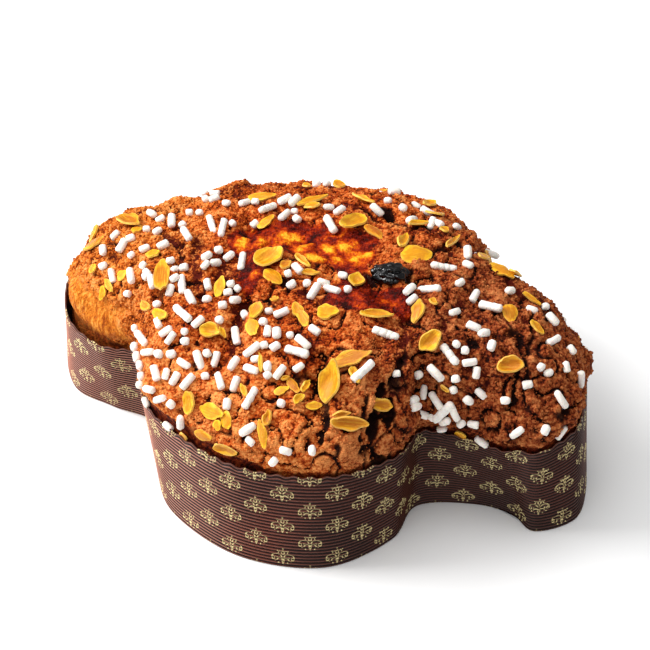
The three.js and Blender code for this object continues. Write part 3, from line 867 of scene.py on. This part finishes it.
def hiddenSpots(tree, settings):  # seeded places that the camera doesn't see, thinned by lean to the tail
    chance = random.Random(settings["seed"])
    kept = []
    for _ in range(settings["tries"]):
        if len(kept) >= settings["hiddenCount"]:
            break
        x, y, luck = chance.uniform(*hiddenSide["x"]), chance.uniform(*hiddenSide["y"]), chance.random()
        if luck > (0.35 + 0.65 * (1 - float(ease(-5, 45, x + 0.3 * abs(y))))) ** settings["lean"]:
            continue
        if any(math.hypot(x - spot[0], y - spot[1]) < settings["spacing"] for spot in kept):
            continue
        hit = tree.ray_cast(Vector((x, y, 200)), Vector((0, 0, -1)))[0]
        if hit is None or hit.z <= hiddenSide["lowest"]:
            continue
        away = np.array(hit) + (0, 0, hiddenSide["lift"]) - eye
        seen = tree.ray_cast(Vector(eye), Vector(unit(away)))[3]
        if seen is not None and seen < np.linalg.norm(away) - hiddenSide["margin"]:
            kept.append((x, y, *seatOn(tree, np.array(hit), settings["hiddenRoom"])))
    return [(seat, normal) for _, _, seat, normal in kept]


def axesOn(normal, turn):
    across = unit(np.cross(normal, [math.cos(turn), math.sin(turn), 0.01]))
    return np.stack([np.cross(across, normal), across, normal])


def tilted(axes, angle):  # turned about its own long axis
    along, across, normal = axes
    return np.stack([along, across * math.cos(angle) + normal * math.sin(angle),
                     normal * math.cos(angle) - across * math.sin(angle)])


def joinCopies(name, copies, models, layers=(), uneven=0):
    points, faces, starts, values = [], [], 0, {}
    for index, (model, axes, place, extra, *longer) in enumerate(copies):  # longer: stretched by its middle
        own = getPoints(model)
        if uneven:
            x, y, z = (own * 3.2).T
            own = own * (1 + uneven * lumps(x + 7.3 * index, y, z))[:, None]
        if longer:
            own[:, 0] += np.sign(np.round(own[:, 0], 2)) * longer[0] / 2
        points.append(own @ axes + place)
        faces += [[vert + starts for vert in face.vertices] for face in model.data.polygons]
        starts += len(own)
        for key, value in extra.items():
            values.setdefault(key, []).append(np.full(len(own), value))
        for key in layers:
            values.setdefault(key, []).append(getValue(model, key))
    mesh = bpy.data.meshes.new(name)
    mesh.from_pydata(np.concatenate(points) / 1000, [], faces)
    piece = bpy.data.objects.new(name, mesh)
    bpy.context.collection.objects.link(piece)
    for key, value in values.items():
        setValue(piece, key, np.concatenate(value))
    for model in models:
        bpy.data.objects.remove(model)
    return piece


flakes = {
    "thickness": 1.0, "longest": 24, "lift": 1.2, "room": 4, "uneven": 0.28, "seed": 5,
    "hiddenCount": 40, "hiddenRoom": 5, "hiddenLength": (8, 17), "hiddenWidth": (0.45, 0.62), "spacing": 12,
    "lean": 0.3, "tries": 12000,
    "pale": ("f6c420", "e0901c"), "deep": ("e29c10", "a84e08"),  # fresh and toasted, the rim and the middle
    # edge is a painted highlight along each flake's rim
    "fibre": "f8ce40", "groove": "b0640e", "patch": "c67a12", "edge": "f0c468",
    "seen": [  # the two ends of a flake and its width, in pixels of the photograph, and how toasted it is
        (119, 217, 139, 226, 13, 0.8), (84, 252, 109, 236, 8, 0.7), (146, 257, 160, 251, 10, 0.1),
        (163, 260, 160, 291, 13, 0.7), (89, 271, 96, 265, 7, 0.1), (117, 278, 126, 271, 8, 0),
        (107, 279, 113, 292, 6, 0.2), (105, 285, 101, 301, 6, 0.2), (139, 225, 134, 236, 5, 0.2),
        (90, 236, 101, 231, 5, 0.2), (247, 198, 275, 194, 7, 0.4), (258, 227, 275, 215, 7, 0.2),
        (257, 269, 282, 249, 16, 0.3), (264, 270, 282, 284, 13, 0.3), (279, 268, 291, 262, 9, 0.8),
        (295, 255, 311, 268, 7, 0.3), (299, 272, 320, 273, 6, 0.3), (223, 275, 216, 300, 12, 0.1),
        (297, 206, 330, 195, 5, 0.3), (304, 210, 321, 208, 6, 0.4), (301, 189, 311, 188, 4, 0.4),
        (338, 228, 365, 216, 14, 0.2), (365, 223, 382, 239, 9, 0.9), (399, 255, 430, 251, 19, 0.2),
        (398, 252, 406, 238, 9, 0.3), (404, 229, 427, 227, 5, 0.2), (423, 204, 435, 209, 6, 0.4),
        (439, 230, 448, 235, 5, 0.4), (442, 251, 456, 239, 8, 0.5), (348, 279, 365, 282, 14, 0.3),
        (351, 198, 373, 208, 4, 0.4), (331, 188, 346, 187, 4, 0.5), (430, 212, 440, 220, 6, 0.4),
        (141, 303, 151, 309, 9, 0.5), (152, 312, 168, 317, 12, 0), (200, 327, 221, 333, 17, 0.2),
        (219, 326, 225, 338, 7, 0.2), (261, 303, 249, 320, 11, 0.4), (250, 319, 253, 336, 12, 0.1),
        (292, 303, 303, 318, 13, 0.4), (299, 311, 308, 327, 12, 0.4), (316, 313, 337, 312, 13, 0.3),
        (331, 363, 369, 352, 15, 0.7), (338, 360, 327, 406, 24, 0.3), (274, 394, 288, 387, 8, 0.2),
        (286, 378, 299, 393, 8, 0.8), (308, 381, 300, 392, 8, 0.3), (280, 379, 290, 376, 5, 0.4),
        (292, 402, 304, 393, 9, 0.1), (260, 352, 261, 374, 4, 0.2), (350, 367, 358, 384, 10, 0.4),
        (358, 313, 391, 316, 10, 0.3), (421, 300, 415, 322, 15, 0.6), (428, 300, 438, 304, 7, 0.4),
        (419, 350, 441, 331, 20, 0.4), (242, 384, 246, 397, 7, 0.3), (507, 304, 511, 322, 16, 0.6),
        (530, 320, 542, 334, 9, 0.4), (497, 261, 518, 276, 5, 0.4), (507, 272, 520, 280, 4, 0.4),
        (521, 291, 541, 306, 4, 0.4), (477, 254, 487, 261, 5, 0.4), (494, 363, 526, 366, 20, 0.7),
        (190, 388, 189, 415, 15, 0.3), (200, 407, 224, 414, 16, 0.1), (223, 410, 228, 429, 11, 0.1),
        (216, 419, 218, 430, 8, 0.1), (193, 431, 211, 438, 8, 0.5), (182, 430, 190, 438, 8, 0.7),
        (212, 441, 240, 452, 10, 0.5), (259, 418, 264, 451, 8, 0.3), (268, 410, 266, 427, 11, 0.8),
        (304, 406, 323, 405, 9, 0.2), (330, 419, 369, 424, 16, 0.7), (331, 415, 351, 412, 9, 0.8),
        (368, 401, 394, 406, 14, 0.6), (457, 431, 465, 439, 6, 0.4), (440, 384, 449, 391, 5, 0.5),
        (272, 299, 278, 298, 5, 0.3),
    ],
}


def flakeModel(curl):  # 1 unit long and wide, the tip to +X
    selectOnly()
    bpy.ops.mesh.primitive_grid_add(x_subdivisions=9, y_subdivisions=6, size=2)
    piece = bpy.context.object
    u, v, _ = getPoints(piece).T
    x = u * np.sqrt(1 - v * v / 2)
    y = v * np.sqrt(1 - u * u / 2) * (1 - 0.15 * x - 0.24 * x * x)
    z = curl * (0.10 * x * x + 0.12 * y * y) + 0.02 * np.sin(5 * x + 3 * y) + 0.012 * np.sin(11 * y - 3 * x)
    setPoints(piece, np.stack([x * 0.5, y * 0.5, z], 1))
    for name, values in (("edge", np.maximum(abs(u), abs(v))), ("lengthwise", x), ("crosswise", y)):
        setValue(piece, name, values)
    return piece


def makeFlakes(tree):
    chance = random.Random(flakes["seed"])
    models = [flakeModel(curl) for curl in (1.0, -0.7, 1.9, 0.3)]
    copies = []

    def add(middle, axes, length, width, toast):
        sizes = np.array([[length], [width], [min(length, 1.6 * width) * 0.8]])
        axes = tilted(axes, chance.gauss(0, 0.13))
        extra = {"toast": toast, "own": chance.random()}
        copies.append((chance.choice(models), axes * sizes, middle, extra))

    for x0, y0, x1, y1, width, toast in flakes["seen"]:
        middle, axes, length = layByPixels(tree, (x0, y0, x1, y1), flakes)
        px, py, halfWidth = (x0 + x1) / 2, (y0 + y1) / 2, width / 2 / np.hypot(x1 - x0, y1 - y0)
        edges = [onPlane(px + way * (y1 - y0), py - way * (x1 - x0), middle, axes[2])
                 for way in (-halfWidth, halfWidth)]
        broad = np.clip(0.94 * np.linalg.norm(edges[1] - edges[0]), 2.6, 12)
        add(middle, axes, min(max(0.95 * length, 4.5), flakes["longest"]), broad, toast)
    for seat, normal in hiddenSpots(tree, flakes):
        axes = axesOn(normal, chance.uniform(0, 2 * math.pi))
        length = chance.uniform(*flakes["hiddenLength"])
        width = length * chance.uniform(*flakes["hiddenWidth"])
        add(seat + normal, axes, length, width, chance.random() * 0.8)
    piece = joinCopies("almondFlakes", copies, models, ("edge", "lengthwise", "crosswise"), flakes["uneven"])
    solid = piece.modifiers.new("thickness", "SOLIDIFY")
    solid.thickness, solid.offset = flakes["thickness"] / 1000, 1
    applyAll(piece)
    return piece


def flakeMaterial():
    startMaterial("toastedAlmond", Roughness=0.45, Specular_IOR_Level=0.25)
    edge, toast, own = layer("edge"), layer("toast"), newNode("CombineXYZ")
    for socket, name, scale in zip(own.inputs, ("lengthwise", "crosswise", "own"), (0.0015, 0.007, 1)):
        plug(socket, times(layer(name), scale))  # fibres run along each flake
    fibres = grain(1.3, 3, 0.6, own.outputs[0])
    # the thin bright edge on each flake is a painted highlight
    tone = coated(mix(toast, *flakes["deep"]),
                  (span(total(edge, (fibres, 0.5)), 0.75, 1.15), mix(toast, *flakes["pale"])),
                  (span(fibres, 0.52, 0.68, 0, 0.4), flakes["fibre"]),
                  (span(fibres, 0.44, 0.34, 0, 0.35), flakes["groove"]),
                  (span(grain(4, 3), 0.45, 0.65, 0, 0.6), flakes["patch"]),
                  (span(edge, 0.93, 1.0, 0, 0.5), flakes["edge"]))
    return paint(tone, total(fibres, (grain(1.0, 3), 1)), 0.5, 0.5)


sugar = {
    "thickness": 3.9, "longest": 12.5, "bead": 3.4, "beaded": 10.5, "lift": 1.5, "room": 2.6,
    "hiddenCount": 170, "hiddenRoom": 2.6, "seed": 11, "spacing": 5.6, "lean": 1, "tries": 20000,
    "uneven": 0.15, "tones": ("efe6dc", "faf3ea"),
    "seen": [  # the two ends of a grain, in pixels of the photograph
        (99, 267, 106, 264), (102, 245, 103, 254), (110, 269, 113, 282), (129, 268, 131, 282),
        (126, 293, 128, 293), (114, 240, 121, 233), (125, 239, 118, 251), (126, 239, 134, 236),
        (128, 256, 133, 253), (139, 250, 149, 246), (143, 231, 149, 231), (154, 236, 161, 231),
        (157, 247, 168, 242), (166, 261, 174, 259), (148, 211, 154, 215), (156, 221, 164, 216),
        (171, 214, 171, 226), (186, 212, 192, 212), (196, 212, 202, 212), (179, 226, 185, 222),
        (183, 231, 190, 242), (140, 268, 145, 262), (144, 269, 149, 275), (150, 275, 152, 287),
        (171, 270, 177, 268), (180, 268, 187, 266), (170, 280, 178, 275), (181, 276, 182, 292),
        (171, 284, 168, 296), (145, 275, 146, 276), (202, 193, 207, 194), (210, 193, 219, 193),
        (203, 201, 209, 201), (210, 203, 219, 199), (222, 202, 229, 203), (208, 214, 214, 234),
        (224, 218, 220, 236), (230, 221, 234, 225), (239, 207, 248, 203), (252, 203, 258, 204),
        (260, 210, 274, 205), (278, 202, 290, 196), (290, 204, 298, 196), (291, 211, 297, 211),
        (294, 217, 299, 220), (280, 218, 288, 211), (251, 226, 257, 221), (215, 250, 221, 249),
        (202, 258, 210, 253), (202, 268, 208, 261), (210, 262, 220, 262), (224, 259, 233, 252),
        (243, 252, 240, 270), (284, 274, 291, 272), (293, 264, 301, 272), (287, 287, 295, 281),
        (303, 283, 310, 282), (312, 187, 320, 186), (323, 187, 328, 185), (323, 210, 333, 208),
        (335, 216, 344, 210), (326, 217, 334, 231), (371, 204, 382, 215), (384, 202, 391, 203),
        (399, 205, 406, 209), (388, 194, 399, 192), (411, 203, 420, 208), (419, 210, 433, 218),
        (433, 217, 429, 228), (416, 215, 405, 229), (435, 224, 442, 228), (451, 228, 458, 229),
        (431, 264, 456, 269), (467, 247, 467, 258), (463, 262, 472, 266), (456, 284, 463, 280),
        (338, 274, 347, 276), (404, 293, 414, 285), (407, 303, 416, 295), (416, 292, 444, 292),
        (345, 289, 350, 288), (317, 280, 329, 284), (324, 287, 339, 291), (318, 283, 309, 298),
        (236, 287, 238, 289), (227, 284, 234, 283), (206, 279, 208, 289), (223, 293, 232, 291),
        (203, 299, 210, 298), (230, 300, 239, 299), (218, 305, 226, 304), (153, 304, 160, 303),
        (186, 290, 193, 304), (175, 307, 189, 319), (203, 317, 192, 326), (217, 320, 221, 319),
        (243, 312, 246, 317), (156, 318, 159, 327), (136, 325, 138, 331), (139, 332, 149, 345),
        (159, 335, 171, 327), (174, 332, 166, 343), (181, 331, 187, 331), (181, 341, 188, 340),
        (234, 327, 237, 344), (136, 343, 138, 351), (142, 352, 152, 351), (155, 353, 161, 354),
        (166, 354, 175, 353), (195, 350, 202, 369), (205, 350, 208, 356), (217, 351, 213, 367),
        (259, 343, 244, 355), (251, 359, 259, 358), (244, 366, 257, 371), (237, 357, 229, 369),
        (177, 359, 189, 367), (140, 362, 144, 368), (137, 352, 140, 361), (153, 365, 157, 380),
        (167, 368, 164, 379), (178, 372, 171, 384), (193, 374, 181, 388), (201, 376, 208, 375),
        (217, 373, 221, 388), (237, 376, 232, 391), (143, 372, 144, 380), (141, 381, 142, 387),
        (144, 388, 153, 390), (145, 397, 152, 405), (154, 400, 164, 397), (167, 401, 174, 407),
        (166, 421, 174, 428), (180, 416, 180, 428), (255, 388, 244, 407), (227, 398, 226, 409),
        (255, 424, 239, 434), (246, 437, 253, 444), (264, 311, 272, 310), (274, 315, 288, 309),
        (262, 321, 264, 321), (268, 326, 266, 336), (276, 328, 276, 337), (286, 335, 293, 334),
        (296, 336, 309, 347), (309, 326, 319, 333), (260, 345, 267, 344), (270, 349, 279, 343),
        (286, 348, 307, 354), (267, 361, 267, 371), (264, 377, 270, 372), (284, 365, 274, 378),
        (293, 370, 303, 364), (279, 449, 291, 452), (311, 445, 312, 455), (270, 464, 276, 458),
        (278, 402, 283, 404), (372, 362, 353, 379), (373, 329, 397, 337), (392, 373, 400, 373),
        (414, 376, 422, 373), (424, 384, 422, 399), (428, 365, 442, 380), (451, 379, 459, 378),
        (452, 386, 454, 393), (442, 345, 456, 363), (453, 341, 459, 346), (461, 350, 468, 350),
        (462, 363, 476, 361), (477, 366, 475, 378), (450, 313, 459, 310), (477, 290, 471, 301),
        (480, 304, 500, 308), (466, 323, 480, 329), (478, 333, 489, 332), (493, 340, 490, 350),
        (481, 251, 497, 257), (506, 290, 513, 290), (526, 307, 537, 311), (542, 306, 548, 306),
        (547, 313, 557, 324), (547, 343, 559, 337), (566, 347, 572, 355), (538, 369, 543, 364),
        (544, 374, 552, 371), (522, 385, 532, 383), (565, 361, 567, 372), (577, 371, 579, 386),
        (556, 391, 566, 407), (565, 426, 556, 438), (547, 425, 543, 434), (511, 436, 522, 428),
        (475, 437, 487, 446), (457, 425, 464, 422), (467, 423, 478, 425), (437, 429, 446, 427),
        (430, 392, 441, 409), (410, 402, 416, 398), (412, 408, 419, 405), (417, 413, 427, 416),
        (451, 404, 434, 420), (429, 416, 434, 419), (451, 407, 457, 420), (441, 420, 449, 417),
        (475, 388, 485, 397), (464, 397, 472, 403), (500, 400, 510, 400),
    ],
}


def sugarModel(bluntness):  # a rounded grain 1 unit thick, long way along X, its middle ring free to stretch
    selectOnly()
    bpy.ops.mesh.primitive_uv_sphere_add(segments=10, ring_count=6, radius=1, rotation=(0, math.pi / 2, 0))
    piece = bpy.context.object
    bpy.ops.object.transform_apply(location=False, rotation=True, scale=False)
    ball = getPoints(piece)
    x = np.clip(ball[:, 0], -1, 1)
    around = np.maximum(np.hypot(ball[:, 1], ball[:, 2]), 1e-9)
    slim = (1 - np.abs(x) ** bluntness) ** (1 / bluntness) * (around > 1e-6)
    along = np.sign(x) * np.abs(x) ** 0.85
    setPoints(piece, np.stack([along, ball[:, 1] / around * slim, ball[:, 2] / around * slim], 1) / 2)
    return piece


def makeSugar(tree):
    chance = random.Random(sugar["seed"])
    models = [sugarModel(bluntness) for bluntness in (2.3, 2.8, 3.6)]
    copies = []

    def add(middle, axes, length):
        size = sugar["thickness"] * chance.uniform(0.9, 1.1)
        if length > sugar["beaded"]:  # a long one is a row of beads that run together
            count = round(length / sugar["bead"])
            for step in range(count):
                place = middle + axes[0] * (step - (count - 1) / 2) * (length - size) / (count - 1)
                copies.append((chance.choice(models), axes * size, place, {}, 0.25))
            return
        spun = tilted(axes, chance.uniform(0, math.pi))
        copies.append((chance.choice(models), spun * size, middle, {}, max(0, length / size - 1)))

    for ends in sugar["seen"]:
        middle, axes, length = layByPixels(tree, ends, sugar)
        add(middle, axes, min(length + 0.3, sugar["longest"]))
    for seat, normal in hiddenSpots(tree, sugar):
        axes = axesOn(normal, chance.uniform(0, math.pi))
        add(seat + normal * sugar["lift"], axes, 4.2 + 7 * chance.random() ** 2)
    return joinCopies("pearlSugar", copies, models, uneven=sugar["uneven"])


def sugarMaterial():
    startMaterial("pearlSugar", Roughness=0.6, Specular_IOR_Level=0.3, Subsurface_Weight=0.1,
                  Subsurface_Scale=0.002)
    return paint(mix(span(grain(2, 3), 0.35, 0.65), *sugar["tones"]), grain(0.8, 3, 0.6), 0.5, 0.4)


# the pieces, each handed to the frame
breadCrust = makeCrust()
glaze = crustMaterial()
hand(breadCrust, glaze, "cake")
crustTree = BVHTree.FromPolygons((getPoints(breadCrust) * 1000).tolist(), triangles(breadCrust).tolist())
for kind in ("glazeCrumbs.coarse", "glazeCrumbs.fine"):
    hand(makeCrumbs(kind, breadCrust), glaze, "cake")
raisinSeat = np.mean(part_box("raisin"), axis=0) * 1000
hand(makeRaisin(raisinSeat), raisinMaterial(), "raisin")
hand(makePaperWall(), paperMaterial(), "paper_wall", smooth=40)

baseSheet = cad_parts["paper_base"]
baseSheet.data.materials.clear()
startMaterial("plainPaper", Roughness=0.65)
baseSheet.data.materials.append(paint(mix(grain(3, 3), *paper["base"])))

hand(makeFlakes(crustTree), flakeMaterial(), "cake", smooth=50)
hand(makeSugar(crustTree), sugarMaterial(), "cake")

studio = {
    "floor": (0.95, 0.95, 0.95, 1), "world": 0.36, "aim": (0, 0, 0.05),
    "keyLight": ((-1.12, -0.25, 1.08), 0.75, 29),   # place, size, power
    "topLight": ((-0.1, -0.25, 1.5), 1.2, 13.5),
}
selectOnly()
bpy.ops.mesh.primitive_plane_add(size=6, location=(0, 0, -0.0005))
floor = bpy.context.object
floor.name = "floor"
startMaterial("paleFloor", Roughness=0.9)
floor.data.materials.append(paint(studio["floor"]))

world = bpy.data.worlds.new("studio")
bpy.context.scene.world = world
world.use_nodes = True
world.node_tree.nodes["Background"].inputs[0].default_value = (1, 1, 1, 1)
world.node_tree.nodes["Background"].inputs[1].default_value = studio["world"]

for name in ("keyLight", "topLight"):
    place, size, power = studio[name]
    bpy.ops.object.light_add(type="AREA", location=place)
    light = bpy.context.object
    light.name = name
    light.data.size, light.data.energy = size, power
    light.rotation_euler = (Vector(studio["aim"]) - Vector(place)).to_track_quat("-Z", "Y").to_euler()

bpy.ops.object.camera_add(location=view["place"])
camera = bpy.context.object
camera.rotation_euler = (math.radians(view["tilt"]), 0, math.radians(view["turn"]))
camera.data.lens, camera.data.sensor_width = view["lens"], view["sensor"]
bpy.context.scene.camera = camera
bpy.context.scene.view_settings.view_transform = "Standard"
print("floor, lights and camera placed")
